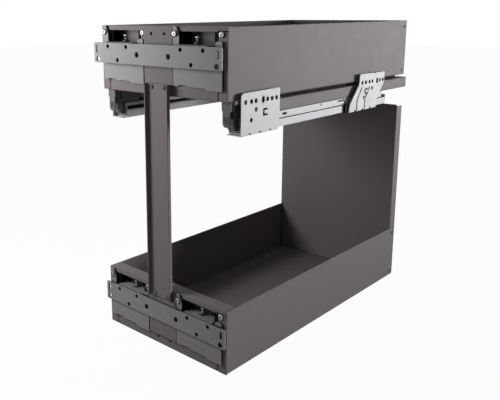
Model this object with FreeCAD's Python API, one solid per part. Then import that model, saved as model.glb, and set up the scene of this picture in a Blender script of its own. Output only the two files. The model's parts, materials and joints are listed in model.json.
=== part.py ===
import FreeCAD, Part
import math
import os

# Two-tier pull-out basket for a narrow base cabinet, in millimetres.
# While it is modelled, x is 0 in the middle, y is 0 at the front face of the trays and grows
# to the back, and z is 0 under the lower tray. save() then moves y to the middle of the whole.

V = FreeCAD.Vector

# Trays
tray_width = 252.0
tray_depth = 500.0
tray_height = 97.0
overall_height = 488.0
tray_sheet = 1.5
tray_bend = 2.2
front_box_depth = 21.0
return_flange = 15.5
seam = 1.5
rear_fold = 13.0

# Windows in the hollow tray fronts
window_inner = 38.0
window_outer = 112.0
window_low = 47.0
window_high = 90.3

# Column between the tiers and its plates
column_width = 47.0
column_sheet = 1.6
column_bend = 0.6
column_flange = 5.2
column_overlap = 16.0
column_plate_width = 59.0
plate_stand_off = 3.2
plate_sheet = 1.5
plate_bend = 1.0
plate_hole_spacing = 26.0
plate_hole_inset = 10.5
tongue_rise = 3.0
plate_hole_radius = 2.3
column_screw_spacing = 25.0
column_screw_inset = 4.6
column_screw_head_radius = 3.1
column_screw_head = 1.7

# Back panel
back_gap = 19.0
back_sheet = 1.5
shoulder_drop = 55.0
neck_half_width = 84.0
back_clearance = 0.4
shoulder_radius = 3.0
neck_radius = 12.0

# Facade rails
rail_half_length = 128.0
rail_height = 30.0
rail_low = 42.0
rail_sheet = 2.5
rail_corner = 2.0
upper_rail_front = 15.0
lower_rail_front = 6.5
rail_slot_x = 121.0
rail_slot_width = 4.2
rail_slot_length = 11.5
rail_slot_drop = 9.5
rail_end_hole_x = 119.5
rail_end_hole_radius = 3.9
rail_top_hole_x = 96.0
rail_mid_hole_x = 55.0
rail_low_hole_x = 74.5
rail_small_radius = 3.0
rail_big_hole_x = 32.0
rail_big_radius = 4.0
rail_edge_row = 5.2
rail_big_row = 14.5

# Carriages behind the rails, depth sliders and height screws
carriage_inner = 46.0
carriage_outer = 101.5
carriage_sheet = 2.0
carriage_drop = 1.4
ledge_rise = 1.0
ledge_reach = 24.5
screw_x = 72.5
screw_offset = 16.0
screw_radius = 2.0
screw_play = 0.05
screw_head_radius = 3.2
screw_head = 2.6
screw_head_top = 84.5
boss_radius = 4.5
boss_height = 3.0
slider_low = 53.0
slider_sheet = 3.0
slider_front = 6.0
slider_back = 8.5
slider_inner = 48.5
slider_outer = 99.5
slider_wing = 5.3
wing_start = 1.5
slider_play = 0.3
collar_radius = 4.6
collar = 1.3

# Guide blocks in the tray fronts
guide_inner = 31.0
guide_outer = 121.0
guide_inner_edge = 45.0
guide_outer_edge = 102.0
guide_low = 49.0
guide_high = 92.0
guide_groove = 3.2

# Side plates of the front fixing, the same part left and right
fixing_width = 89.0
fixing_right_x = 30.0
fixing_left_x = -120.0
fixing_low = 16.0
fixing_web_play = 0.5
fixing_ear = 11.5
fixing_ear_tip = 6.3
fixing_chamfer_start = 84.0
fixing_post_start = 76.2
fixing_post_top = 78.5
fixing_post_radius = 6.0
fixing_step_start = 58.7
fixing_foot_step = 2.6
fixing_stand_inset = 1.0
fixing_stand_margin = 2.0
fixing_boss_radius = 3.7
fixing_notch_start = 9.0
fixing_notch_width = 17.0
fixing_notch_depth = 1.6
clamp_ear_inset = 3.9
clamp_post_inset = 3.0
clamp_row = 87.0
clamp_head_radius = 4.1
clamp_head = 2.6
clamp_shank_radius = 2.0
clamp_length = 9.0

# Undermount slides, from the middle plane of each slide
slide_travel = 385.0
slide_side_gap = 16.0
slide_drop = 46.0
slide_front = 27.0
slide_overlap = 8.0
rail_end_reach = 10.0
rail_end_tab = 16.0
fixed_half = 11.0
fixed_wall = 1.2
fixed_height = 11.0
ball_radius = 1.5
ball_play = 0.1
ball_pitch = 32.0
balls_in_row = 5
middle_wall = 1.2
middle_low_rise = 2.8
middle_low_height = 5.2
middle_height = 16.0
upper_ball_drop = 3.1
cage_sheet = 0.8
cage_wall = 1.4
cage_play = 0.4
drawer_half = 8.7
drawer_wall = 1.1
drawer_gap = 1.0
drawer_top_play = 1.9
drawer_slots = ((123.5, 134.0, 15.4, 18.6), (223.5, 226.5, 17.6, 20.4), (274.0, 296.0, 18.0, 20.4))
lip = 0.9
catch_bar = 1.9
catch_bar_y = (31.0, 290.0)
catch_bar_rise = (12.6, 16.6)

# Carrier channels, spacers and couplers under the upper tray
carrier_drop = 24.0
carrier_reach = 9.5
carrier_sheet = 1.4
carrier_width = 18.5
carrier_height = 18.5
carrier_front = 58.0
carrier_rear_reach = 11.0
carrier_bend = 1.9
spacer_width = 10.0
spacer_inset = 6.0
spacer_margin = 4.0
spacer_rear_gap = 21.0
coupler_front = 7.5
coupler_inner_reach = 7.0
coupler_outer_reach = 8.7
coupler_cheek = 1.3
coupler_cheek_drop = 13.0
coupler_body_front = 14.4
coupler_nose_front = 17.0
coupler_nose_rise = 5.0
coupler_nose_slope = (4.0, 5.0)
coupler_nose_drop = 22.0
coupler_nose_inset = (1.0, 2.0)
coupler_gap = 0.5
coupler_window_y = (17.4, 20.4)
coupler_window_drop = (16.0, 6.0)
lever_sheet = 2.5
lever_drop = 35.0
lever_top_drop = 1.5
lever_radius = 6.0
lever_top_radius = 0.8
lever_play = 0.2
lever_ribs = 3
lever_rib_pitch = 3.4
lever_rib_width = 1.2
lever_rib_rise = 0.6
lever_rib_drop = (30.0, 21.0)
lever_barrel_radius = 3.0
lever_pin_radius = 1.5
lever_pin_play = 0.05
lever_axis_y = 11.0
lever_axis_drop = 8.0

# Cabinet brackets
bracket_half_span = 132.0
bracket_sheet = 1.6
bracket_flange = 24.0
bracket_top = 57.5
bracket_front_start = 20.3
bracket_front_length = 86.0
bracket_front_radius = 6.0
bracket_slant = 1.0
bracket_foot_inset = 4.0
bracket_foot_rise = 6.0
foot_notch_radius = 2.8
foot_notch_rise = 1.0
foot_notch_shares = (0.22, 0.5, 0.78)
bracket_row_rise = 44.0
bracket_pitch = 320.0
bracket_slot_y = 68.0
bracket_hole_radius = 3.3
bracket_slot_width = 6.6
bracket_slot_length = 9.8
bracket_small_radius = 3.1
bracket_steps = (-38.3, -26.0, -16.0, 9.7, 20.0)
bracket_front_extra = 30.4
bracket_rear_extra = -50.0
front_small_holes = ((-15.6, 11.7), (-25.8, 25.4))
rear_small_holes = ((-16.3, 11.2), (-42.5, 25.1))
front_tab = (-0.2, 22.5)
rear_tab = (-41.5, 20.5)
rear_top_start = 330.0
rear_top_end = 414.5
rear_neck_start = 300.0
rear_neck_end = 387.0
rear_waist_rise = 10.5
rear_front_shoulder = 42.0
rear_back_shoulder = 39.0
rear_slant = 1.5
rear_radii = (0, 0, 8.0, 12.0, 2.0, 3.0, 10.0, 8.0)
tab_size = 10.4
tab_slit = 2.6
tab_side_slit = 3.4
rib_shares = (0.26, 0.56)
rib_radius = 2.6
rib_depth = 1.1
rib_upright = 17.0
rib_slanted = 24.0
rib_lean = 0.75
rivet_half_spacing = 20.0
rivet_radius = 2.2
rivet_head_radius = 4.0
rivet_head = 1.0

# Soft-closing units beside the slides
closer_width = 12.0
closer_height = 21.0
closer_length = 140.0
closer_wall = 9.0
clip_start = 9.0
clip_length = 17.0
clip_height = 12.5
clip_thickness = 3.0
clip_strap = 1.2
clip_strap_width = 8.0
catch_slot_side = 3.0
catch_slot_start = 14.0
catch_slot_end = 62.0
catch_slot_depth = 5.0
damper_inset = 12.0
damper_radius = 3.6
damper_length = 78.0
damper_rod_radius = 1.2
damper_rod = 30.0

# Small fasteners of the trays and back panel
tray_rivet_radius = 1.7
tray_rivet_head_radius = 2.7
tray_rivet_head = 0.9
tray_rivet_inset = 7.0
tray_rivet_rows = (8.5, 86.0)
panel_screw_radius = 2.0
panel_screw_head_radius = 3.8
panel_screw_head = 2.2
panel_screw_xs = (-60.0, 0.0, 60.0)
hole_play = 0.1

# Places worked out from the sizes above
half_width = tray_width / 2
upper_base = overall_height - tray_height
front_reach = upper_rail_front
rear_reach = tray_depth + carrier_rear_reach
middle_y = (rear_reach - front_reach) / 2
flange_edge = half_width - return_flange
fixing_web_top = rail_low - carriage_drop - fixing_web_play
tray_rivet_y = tray_depth - tray_rivet_inset
back_shoulder = upper_base - shoulder_drop
slide_x = bracket_half_span - slide_side_gap
slide_low = upper_base - slide_drop
slide_length = slide_travel + slide_overlap
slide_rear = slide_front + slide_length
carrier_x = slide_x + carrier_reach
carrier_low = upper_base - carrier_drop
carrier_top = carrier_low + carrier_height
coupler_inner = slide_x - coupler_inner_reach
coupler_outer = slide_x + coupler_outer_reach
lever_axis_z = upper_base - lever_axis_drop
bracket_low = slide_low - bracket_sheet
row_z = slide_low + bracket_row_rise
panel_screw_y = tray_depth - back_gap / 2


def box(x0, x1, y0, y1, z0, z1):
    return Part.makeBox(x1 - x0, y1 - y0, z1 - z0, V(x0, y0, z0))


def cylinder(start, direction, radius, length):
    return Part.makeCylinder(radius, length, start, direction)


def fused(shapes):
    result = shapes[0].fuse(shapes[1:]) if len(shapes) > 1 else shapes[0]
    return result.removeSplitter()


def group(shapes):
    return Part.makeCompound(shapes)


def mirrored(shape):
    return shape.mirror(V(0, 0, 0), V(1, 0, 0))


def both_sides(shape):
    return group([shape, mirrored(shape)])


def outline_face(points, radii):
    """A flat face whose corners are rounded by arcs. Radius 0 leaves a corner sharp."""
    count = len(points)
    edges = []
    ends = []
    for i, corner in enumerate(points):
        before = (points[i - 1] - corner)
        after = (points[(i + 1) % count] - corner)
        radius = radii[i]
        if radius <= 0:
            ends.append((corner, corner, None))
            continue
        before.normalize()
        after.normalize()
        half_angle = before.getAngle(after) / 2
        reach = radius / math.tan(half_angle)
        bisector = before + after
        bisector.normalize()
        centre = corner + bisector * (radius / math.sin(half_angle))
        middle = centre - bisector * radius
        ends.append((corner + before * reach, corner + after * reach, middle))
    for i in range(count):
        start, finish, middle = ends[i]
        if middle is not None:
            edges.append(Part.Arc(start, middle, finish).toShape())
        next_start = ends[(i + 1) % count][0]
        if (next_start - finish).Length > 1e-6:
            edges.append(Part.LineSegment(finish, next_start).toShape())
    return Part.Face(Part.Wire(edges))


def plate_xz(points, y0, y1, radii=None):
    """A plate that stands across the object, from its outline in x and z."""
    corners = [V(x, y0, z) for x, z in points]
    return outline_face(corners, radii or [0] * len(corners)).extrude(V(0, y1 - y0, 0))


def plate_yz(points, x0, x1, radii=None):
    """A plate that stands along the object, from its outline in y and z."""
    corners = [V(x0, y, z) for y, z in points]
    return outline_face(corners, radii or [0] * len(corners)).extrude(V(x1 - x0, 0, 0))


def folded_section(points, thickness, y0, y1, bend):
    """A sheet folded along y. points is the outer line of the fold; the sheet lies to its left."""
    inner = []
    count = len(points)
    for i, point in enumerate(points):
        here = V(point[0], 0, point[1])
        shift = V(0, 0, 0)
        sides = []
        if i > 0:
            sides.append(here - V(points[i - 1][0], 0, points[i - 1][1]))
        if i < count - 1:
            sides.append(V(points[i + 1][0], 0, points[i + 1][1]) - here)
        for side in sides:
            side.normalize()
            shift = shift + V(-side.z, 0, side.x) * thickness
        inner.append((point[0] + shift.x, point[1] + shift.z))
    radii = [0] + [bend] * (count - 2) + [0]
    inner_bend = max(bend - thickness, 0)
    inner_radii = [0] + [inner_bend] * (count - 2) + [0]
    turned = turns(points)
    for i in range(1, count - 1):
        if turned[i] < 0:
            radii[i] = inner_bend
            inner_radii[i] = bend
    return plate_xz(points + inner[::-1], y0, y1, radii + inner_radii[::-1])


def turns(points):
    """For each point, 1 where the line turns left, towards the sheet, and -1 where it turns right."""
    result = [0] * len(points)
    for i in range(1, len(points) - 1):
        ax, az = points[i][0] - points[i - 1][0], points[i][1] - points[i - 1][1]
        bx, bz = points[i + 1][0] - points[i][0], points[i + 1][1] - points[i][1]
        result[i] = 1 if ax * bz - az * bx > 0 else -1
    return result


def slot_cutter_y(x, z, width, length, y0, y1):
    """A slot with round ends that stands upright in a plate across the object."""
    radius = width / 2
    straight = length / 2 - radius
    return fused([
        box(x - radius, x + radius, y0, y1, z - straight, z + straight),
        cylinder(V(x, y0, z - straight), V(0, 1, 0), radius, y1 - y0),
        cylinder(V(x, y0, z + straight), V(0, 1, 0), radius, y1 - y0),
    ])


def slot_cutter_x(y, z, width, length, x0, x1):
    """A slot with round ends that stands upright in a plate along the object."""
    radius = width / 2
    straight = length / 2 - radius
    return fused([
        box(x0, x1, y - radius, y + radius, z - straight, z + straight),
        cylinder(V(x0, y, z - straight), V(1, 0, 0), radius, x1 - x0),
        cylinder(V(x0, y, z + straight), V(1, 0, 0), radius, x1 - x0),
    ])


def cross_recess(centre, direction, across, size, depth):
    """The cross-shaped recess of a screw head, cut from the point at centre along direction."""
    other = direction.cross(across)
    arms = []
    for long_way, short_way in ((across, other), (other, across)):
        corner = centre - long_way * size - short_way * (size * 0.28)
        edges = [corner, corner + long_way * size * 2,
                 corner + long_way * size * 2 + short_way * (size * 0.56),
                 corner + short_way * (size * 0.56)]
        face = Part.Face(Part.makePolygon(edges + [corner]))
        arms.append(face.extrude(direction * depth))
    return fused(arms)


def pan_screw(seat, direction, head_radius, head, shank_radius, length):
    """A pan-head screw: its head stands on the seat, its shank runs along direction."""
    top = seat - direction * head
    body = cylinder(top, direction, head_radius, head)
    crown = [edge for edge in body.Edges if edge.BoundBox.Center.sub(top).Length < head / 2]
    body = body.makeFillet(head * 0.45, [crown[0]])
    shank = cylinder(seat, direction, shank_radius, length)
    across = V(1, 0, 0) if abs(direction.x) < 0.5 else V(0, 1, 0)
    recess = cross_recess(top, direction, across, head_radius * 0.52, head * 0.6)
    return fused([body, shank]).cut(recess)


def tray_shell(base):
    """Floor, side walls and rear wall of one tray, with the folds that close its front."""
    top = base + tray_height
    inside = half_width - tray_sheet
    shell = folded_section(
        [(-half_width, top), (-half_width, base), (half_width, base), (half_width, top)],
        tray_sheet, tray_sheet, tray_depth, tray_bend)
    rear = box(-inside, inside, tray_depth - tray_sheet, tray_depth, base + tray_sheet, top)
    pieces = [shell, rear]
    for side in (-1, 1):
        edge, corner = sorted((side * flange_edge, side * half_width))
        pieces.append(box(edge, corner, 0, tray_sheet, base, base + window_high))
        fold, wall = sorted((side * (inside - tray_sheet), side * inside))
        pieces.append(box(fold, wall, tray_depth - tray_sheet - rear_fold, tray_depth - tray_sheet,
                          base + tray_sheet, top))
    return fused(pieces)


def tray_rivet_holes(base):
    reach = 3 * tray_sheet
    return [cylinder(V(side * (half_width + 1), tray_rivet_y, base + row), V(-side, 0, 0),
                     tray_rivet_radius + hole_play, reach + 1)
            for side in (-1, 1) for row in tray_rivet_rows]


def floor_screw_holes(z0, z1):
    return [cylinder(V(x, panel_screw_y, z0), V(0, 0, 1), panel_screw_radius + hole_play, z1 - z0)
            for x in panel_screw_xs]


def clamp_places():
    """x of each clamp screw, with how far in front of the tray its head sits."""
    places = []
    for start in (fixing_left_x, fixing_right_x):
        places.append((start + clamp_ear_inset, plate_stand_off))
        places.append((start + fixing_width - clamp_post_inset, 0.0))
    return places


def clamp_holes(base):
    return [cylinder(V(x, -plate_stand_off - 1, base + clamp_row), V(0, 1, 0),
                     clamp_shank_radius + hole_play, clamp_length + plate_stand_off + 2)
            for x, seat in clamp_places()]


def column_end(upper):
    return upper_base + column_overlap if upper else tray_height - column_overlap


def column_screw_places(upper):
    """x and z of the two screws that hold one end of the column."""
    z = column_end(upper) + (-column_screw_inset if upper else column_screw_inset)
    return [(side * column_screw_spacing / 2, z) for side in (-1, 1)]


def column_holes(upper):
    return [cylinder(V(x, -plate_stand_off - column_sheet - 1, z), V(0, 1, 0),
                     clamp_shank_radius + hole_play, plate_stand_off + column_sheet + tray_sheet + 2)
            for x, z in column_screw_places(upper)]


def tray(base):
    holes = tray_rivet_holes(base) + clamp_holes(base)
    holes += floor_screw_holes(base - 1, base + tray_sheet + 1)
    return tray_shell(base).cut(holes)


def front_panel(base, upper):
    """The box-shaped front of a tray: a face with two windows, a top strip and an inner wall."""
    top = base + tray_height
    inside = half_width - tray_sheet
    edge = flange_edge - seam
    strip_low = base + window_high + seam
    face = plate_xz(
        [(-edge, base), (edge, base), (edge, strip_low), (half_width, strip_low), (half_width, top),
         (-half_width, top), (-half_width, strip_low), (-edge, strip_low)], 0, tray_sheet)
    for side in (-1, 1):
        inner, outer = sorted((side * window_inner, side * window_outer))
        face = face.cut(box(inner, outer, -1, tray_sheet + 1, base + window_low, base + window_high))
    strip = box(-inside + seam / 2, inside - seam / 2, 0, front_box_depth, top - tray_sheet, top)
    wall = box(-inside + seam / 2, inside - seam / 2, front_box_depth - tray_sheet, front_box_depth,
               base + tray_sheet + seam, top)
    holes = clamp_holes(base) + column_holes(upper) + plate_holes(base, upper)
    return fused([face, strip, wall]).cut(holes)


def guide_blocks(base):
    """Four plastic blocks that carry the depth sliders in one tray front."""
    low, high = base + guide_low, base + guide_high
    back = front_box_depth - tray_sheet
    inner = box(guide_inner, guide_inner_edge, tray_sheet, back, low, high)
    outer = box(guide_outer_edge, guide_outer, tray_sheet, back, low, high)
    groove = box(guide_inner_edge - guide_groove, guide_outer_edge + guide_groove, 0, back + 1,
                 base + slider_low - slider_play, base + slider_low + slider_sheet + slider_play)
    blocks = [piece.cut(groove) for piece in (inner, outer)]
    return both_sides(group(blocks)).cut(clamp_holes(base))


def fixing_plate(start, base):
    """A side plate of the front fixing, with an ear on its left and a post on its right."""
    post = start + fixing_post_start
    end = start + fixing_width
    low = base + fixing_low
    points = [
        (start, low), (start + fixing_notch_start, low),
        (start + fixing_notch_start + fixing_notch_depth, low + fixing_notch_depth),
        (start + fixing_notch_start + fixing_notch_width, low + fixing_notch_depth),
        (start + fixing_notch_start + fixing_notch_width + fixing_notch_depth, low),
        (start + fixing_step_start, low),
        (start + fixing_step_start + fixing_foot_step, low - fixing_foot_step),
        (end, low - fixing_foot_step), (end, base + fixing_post_top), (post, base + fixing_post_top),
        (post, base + fixing_web_top), (start + fixing_ear, base + fixing_web_top),
        (start + fixing_ear, base + fixing_chamfer_start), (start + fixing_ear_tip, base + tray_height),
        (start, base + tray_height)]
    radii = [1.0, 0, 0, 0, 0, 0, 0, 2.5, 2.0, fixing_post_radius, 2.0, 2.0, 1.0, 0.5, 0.5]
    plate = plate_xz(points, -plate_stand_off, -plate_stand_off + plate_sheet, radii)
    stand = plate_stand_off - plate_sheet
    feet = [box(x, x + plate_sheet, -stand, 0,
                low + fixing_stand_margin, base + window_low - fixing_stand_margin)
            for x in (start + fixing_stand_inset, end - fixing_stand_inset - plate_sheet)]
    boss = cylinder(V(start + clamp_ear_inset, -stand, base + clamp_row), V(0, 1, 0),
                    fixing_boss_radius, stand)
    return fused([plate, boss] + feet).cut(clamp_holes(base))


def clamp_screws(base):
    screws = [pan_screw(V(x, -seat, base + clamp_row), V(0, 1, 0), clamp_head_radius, clamp_head,
                        clamp_shank_radius, clamp_length + seat)
              for x, seat in clamp_places()]
    return group(screws)


def plate_holes(base, upper):
    """The two open holes beside a column plate's free end, through the plate or the tray front."""
    z = base + (tray_height - plate_hole_inset if upper else plate_hole_inset)
    return [cylinder(V(side * plate_hole_spacing / 2, -plate_stand_off - 1, z), V(0, 1, 0),
                     plate_hole_radius, plate_stand_off + tray_sheet + 2) for side in (-1, 1)]


def column_plate(base, upper):
    """The plate that carries one end of the column. The upper one has a tongue down to its screws."""
    body = folded_plate(column_plate_width / 2, base + fixing_low, base + tray_height)
    if upper:
        body = body.fuse(folded_plate(column_width / 2, base + tongue_rise, base + fixing_low))
    return body.cut(plate_holes(base, upper) + column_holes(upper))


def folded_plate(half, low, high):
    """A flat plate with a narrow fold down each side that stands on the tray front."""
    front = -plate_stand_off
    inner, back = half - plate_sheet, front + plate_sheet
    corners = [V(-half, 0, low), V(-half, front, low), V(half, front, low), V(half, 0, low),
               V(inner, 0, low), V(inner, back, low), V(-inner, back, low), V(-inner, 0, low)]
    radii = [0, plate_bend, plate_bend, 0, 0, 0, 0, 0]
    return outline_face(corners, radii).extrude(V(0, 0, high - low))


def column():
    """The channel that joins the tiers. It is open to the front."""
    half = column_width / 2
    back = -plate_stand_off
    front = back - column_sheet - column_flange
    low, high = column_end(False), column_end(True)
    corners = [V(-half, front, low), V(-half, back, low), V(half, back, low), V(half, front, low),
               V(half - column_sheet, front, low), V(half - column_sheet, back - column_sheet, low),
               V(-half + column_sheet, back - column_sheet, low), V(-half + column_sheet, front, low)]
    outer_bend = column_sheet + column_bend
    radii = [0, outer_bend, outer_bend, 0, 0, column_bend, column_bend, 0]
    channel = outline_face(corners, radii).extrude(V(0, 0, high - low))
    return channel.cut(column_holes(False) + column_holes(True))


def column_screws():
    seat = -plate_stand_off - column_sheet
    places = column_screw_places(False) + column_screw_places(True)
    screws = [pan_screw(V(x, seat, z), V(0, 1, 0), column_screw_head_radius, column_screw_head,
                        clamp_shank_radius, plate_stand_off + column_sheet + tray_sheet)
              for x, z in places]
    return group(screws)


def back_panel():
    """The upright panel at the rear, which joins the lower tray to the floor of the upper one."""
    front = tray_depth - back_gap
    rear = tray_depth - tray_sheet - back_clearance
    low = tray_sheet
    inner = half_width - 2 * tray_sheet - back_clearance
    seat = tray_height + back_clearance
    outline = [
        (-inner, low), (inner, low), (inner, seat), (half_width, seat), (half_width, back_shoulder),
        (neck_half_width, back_shoulder), (neck_half_width, upper_base),
        (-neck_half_width, upper_base), (-neck_half_width, back_shoulder),
        (-half_width, back_shoulder), (-half_width, seat), (-inner, seat)]
    radii = [0, 0, 0, 0, shoulder_radius, neck_radius, 0, 0, neck_radius, shoulder_radius, 0, 0]
    pieces = [plate_xz(outline, front, front + back_sheet, radii)]
    pieces.append(box(-neck_half_width, neck_half_width, front, rear, upper_base - back_sheet, upper_base))
    pieces.append(box(-neck_half_width, neck_half_width, front, rear, low, low + back_sheet))
    for side in (-1, 1):
        a, b = sorted((side * (inner - back_sheet), side * inner))
        pieces.append(box(a, b, front, rear, low, seat + back_sheet))
        a, b = sorted((side * (half_width - back_sheet), side * half_width))
        pieces.append(box(a, b, front, tray_depth, seat, back_shoulder - shoulder_radius))
        a, b = sorted((side * (inner - back_sheet), side * half_width))
        pieces.append(box(a, b, front, rear, seat, seat + back_sheet))
    holes = floor_screw_holes(upper_base - back_sheet - 1, upper_base + 1)
    holes += floor_screw_holes(low - 1, low + back_sheet + 1)
    return fused(pieces).cut(holes)


def back_panel_screws():
    """Screws through both folds of the back panel into the floors of the trays."""
    seats = ((upper_base - back_sheet, V(0, 0, 1)), (tray_sheet + back_sheet, V(0, 0, -1)))
    screws = [pan_screw(V(x, panel_screw_y, z), direction, panel_screw_head_radius, panel_screw_head,
                        panel_screw_radius, back_sheet + tray_sheet)
              for z, direction in seats for x in panel_screw_xs]
    return group(screws)


def tray_rivets():
    """Blind rivets that hold the rear folds of both trays to their side walls."""
    rivets = []
    for base in (0, upper_base):
        for side in (-1, 1):
            for row in tray_rivet_rows:
                start = V(side * half_width, tray_rivet_y, base + row)
                outwards = V(side, 0, 0)
                head = cylinder(start, outwards, tray_rivet_head_radius, tray_rivet_head)
                rim = [edge for edge in head.Edges
                       if abs(edge.BoundBox.Center.x) > half_width + tray_rivet_head * 0.8]
                head = head.makeFillet(tray_rivet_head * 0.6, rim[:1])
                shank = cylinder(start, V(-side, 0, 0), tray_rivet_radius, 2 * tray_sheet)
                rivets.append(fused([head, shank]))
    return group(rivets)


def facade_rail(front, base):
    """The plate that the cabinet's front is screwed to, with its rows of holes."""
    low = base + rail_low
    high = low + rail_height
    points = [(-rail_half_length, low), (rail_half_length, low), (rail_half_length, high),
              (-rail_half_length, high)]
    plate = plate_xz(points, -front, -front + rail_sheet, [rail_corner] * 4)
    y0, y1 = -front - 1, -front + rail_sheet + 1
    cuts = []
    for side in (-1, 1):
        cuts.append(slot_cutter_y(side * rail_slot_x, high - rail_slot_drop, rail_slot_width,
                                  rail_slot_length, y0, y1))
        for x, z, radius in (
                (rail_end_hole_x, low + rail_edge_row, rail_end_hole_radius),
                (rail_top_hole_x, high - rail_edge_row, rail_small_radius),
                (rail_mid_hole_x, high - rail_edge_row, rail_small_radius),
                (rail_low_hole_x, low + rail_edge_row, rail_small_radius),
                (rail_big_hole_x, low + rail_big_row, rail_big_radius)):
            cuts.append(cylinder(V(side * x, y0, z), V(0, 1, 0), radius, y1 - y0))
    return plate.cut(cuts)


def carriages(front, base):
    """The two angle brackets on the back of a facade rail. Their ledges carry the height screws."""
    face = -front + rail_sheet
    high = base + rail_low + rail_height + ledge_rise
    low = base + rail_low - carriage_drop
    wall = box(carriage_inner, carriage_outer, face, face + carriage_sheet, low, high)
    ledge = box(carriage_inner, carriage_outer, face, -front + ledge_reach, high - carriage_sheet, high)
    screw_y = -front + screw_offset
    boss = cylinder(V(screw_x, screw_y, high), V(0, 0, 1), boss_radius, boss_height)
    holes = [cylinder(V(screw_x, screw_y, high - carriage_sheet - 1), V(0, 0, 1),
                      screw_radius + screw_play, carriage_sheet + boss_height + 2)]
    low_row = base + rail_low + rail_edge_row
    high_row = base + rail_low + rail_height - rail_edge_row
    for x, z in ((rail_low_hole_x, low_row), (rail_mid_hole_x, high_row), (rail_top_hole_x, high_row)):
        holes.append(cylinder(V(x, -front, z), V(0, 1, 0), rail_small_radius,
                              rail_sheet + carriage_sheet + 1))
    return both_sides(fused([wall, ledge, boss]).cut(holes))


def depth_sliders(front, base):
    """The plates that run in the guide blocks and hold the feet of the height screws."""
    low, high = base + slider_low, base + slider_low + slider_sheet
    y = -front + screw_offset
    plate = box(slider_inner, slider_outer, y - slider_front, y + slider_back, low, high)
    wings = box(slider_inner - slider_wing, slider_outer + slider_wing, y + wing_start,
                y + slider_back, low, high)
    hole = cylinder(V(screw_x, y, low - 1), V(0, 0, 1), screw_radius + screw_play, slider_sheet + 2)
    return both_sides(fused([plate, wings]).cut(hole))


def height_screw(side, front, base):
    """A vertical screw: threaded through a carriage's ledge, held captive in a depth slider."""
    y = -front + screw_offset
    x = side * screw_x
    low = base + slider_low - slider_play - collar
    top = base + screw_head_top
    up = V(0, 0, 1)
    pieces = [
        cylinder(V(x, y, low), up, screw_radius, top - screw_head - low),
        cylinder(V(x, y, low), up, collar_radius, collar),
        cylinder(V(x, y, base + slider_low + slider_sheet + slider_play), up, collar_radius, collar)]
    screw = pan_screw(V(x, y, top - screw_head), V(0, 0, -1), screw_head_radius, screw_head,
                      screw_radius, 1.0)
    return fused(pieces + [screw])


def slide_section(points, y0, length):
    """A rail of the right-hand slide, from half of its outline mirrored about the slide's middle."""
    right = [(slide_x + half, z) for half, z in points]
    left = [(slide_x - half, z) for half, z in reversed(points)]
    return plate_xz(right + left, y0, y0 + length)


def fixed_rail():
    """The cabinet rail: a channel with lips that keep the lower balls in, and a tab at its rear end."""
    z0, z1 = slide_low, slide_low + fixed_height
    inner = fixed_half - fixed_wall
    outline = [(fixed_half, z0), (fixed_half, z1), (inner - lip, z1),
               (inner - lip, z1 - fixed_wall), (inner, z1 - fixed_wall), (inner, z0 + fixed_wall)]
    rail = slide_section(outline, slide_front, slide_length + rail_end_reach)
    rear = slide_rear + rail_end_reach
    tab = box(slide_x - fixed_half, slide_x + fixed_half, rear - fixed_wall, rear, z0, z0 + rail_end_tab)
    return fused([rail, tab]).cut(bracket_rivet_holes())


def ball_centre_low():
    return fixed_half - fixed_wall - ball_play - ball_radius


def middle_half_low():
    return ball_centre_low() - ball_radius - ball_play


def ball_centre_high():
    return drawer_half - drawer_wall - ball_play - ball_radius


def middle_half_high():
    return ball_centre_high() - ball_radius - ball_play


def middle_levels():
    low = slide_low + middle_low_rise
    return low, low + middle_low_height, low + middle_height


def middle_rail():
    """The rail between the cabinet rail and the drawer rail: a stepped tube with ball tracks."""
    low, step, top = middle_levels()
    a, b = middle_half_low(), middle_half_high()
    tube = slide_section([(a, low), (a, step), (b, step), (b, top)], slide_front, slide_length)
    w = middle_wall
    core = slide_section([(a - w, low + w), (a - w, step - w), (b - w, step - w), (b - w, top - w)],
                         slide_front - 1, slide_length + 2)
    return tube.cut(core)


def ball_row_starts():
    """y of the balls of one row; the cage is in the middle of the slide when it is closed."""
    first = slide_front + slide_length / 2 - ball_pitch * (balls_in_row - 1) / 2
    return [first + i * ball_pitch for i in range(balls_in_row)]


def drawer_levels():
    top = middle_levels()[2] + drawer_top_play
    return slide_low + fixed_height + drawer_gap, top


def ball_height_low():
    return slide_low + middle_low_rise + middle_low_height / 2


def ball_height_high():
    return middle_levels()[2] - upper_ball_drop


def balls(half, z):
    return group([Part.makeSphere(ball_radius, V(slide_x + sign * half, y, z))
                  for sign in (-1, 1) for y in ball_row_starts()])


def ball_pockets(half, z):
    return [cylinder(V(slide_x + sign * half - cage_wall, y, z), V(1, 0, 0),
                     ball_radius + ball_play / 2, 2 * cage_wall)
            for sign in (-1, 1) for y in ball_row_starts()]


def cage_span():
    starts = ball_row_starts()
    return starts[0] - ball_pitch / 2, starts[-1] + ball_pitch / 2


def lower_cage():
    """The plastic strip that keeps the lower balls apart, folded up round the middle rail."""
    y0, y1 = cage_span()
    z0 = slide_low + fixed_wall + cage_play
    half = ball_centre_low()
    top = slide_low + fixed_height - fixed_wall - cage_play
    outer, inner = half + cage_wall / 2, half - cage_wall / 2
    floor_top = z0 + cage_sheet
    outline = [(outer, z0), (outer, top), (inner, top), (inner, floor_top)]
    cage = slide_section(outline, y0, y1 - y0)
    return cage.cut(ball_pockets(half, ball_height_low()))


def upper_cage():
    """The plastic strip that keeps the upper balls apart, folded down round the middle rail."""
    y0, y1 = cage_span()
    inner_top = drawer_levels()[1]
    half = ball_centre_high()
    top = inner_top - cage_play
    low = drawer_levels()[0] + fixed_wall + cage_play
    outer, inner = half + cage_wall / 2, half - cage_wall / 2
    outline = [(inner, top - cage_sheet), (inner, low), (outer, low), (outer, top)]
    cage = slide_section(outline, y0, y1 - y0)
    return cage.cut(ball_pockets(half, ball_height_high()))


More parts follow.
